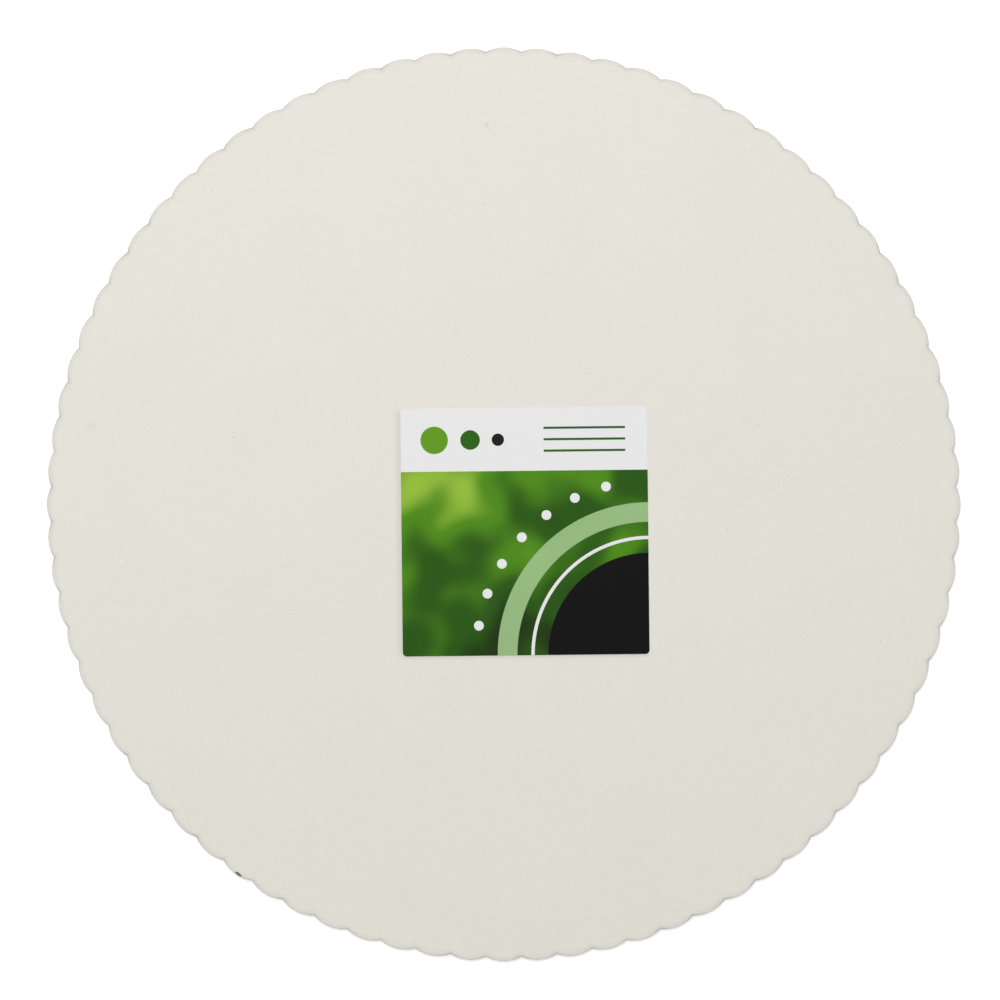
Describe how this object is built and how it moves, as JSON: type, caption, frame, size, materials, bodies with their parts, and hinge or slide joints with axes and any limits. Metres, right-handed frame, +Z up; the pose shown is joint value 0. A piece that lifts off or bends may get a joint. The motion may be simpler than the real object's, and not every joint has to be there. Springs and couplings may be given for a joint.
{
  "type": "cake board",
  "caption": "Round flat cake board of pressed wood pulp with a scalloped edge and a small square paper label on its face.",
  "frame": {"origin": "centre of the underside, on the surface that the board lies on", "axes": "+Z up out of the labelled face; +X to the label's right and +Y to its top edge, as it is read, within a degree"},
  "size_m": [0.28, 0.28, 0.0016],
  "materials": {
    "board": "matte",
    "label": "satin"
  },
  "bodies": {
    "root": {"board": "board", "label": "label"}
  },
  "joints": []
}
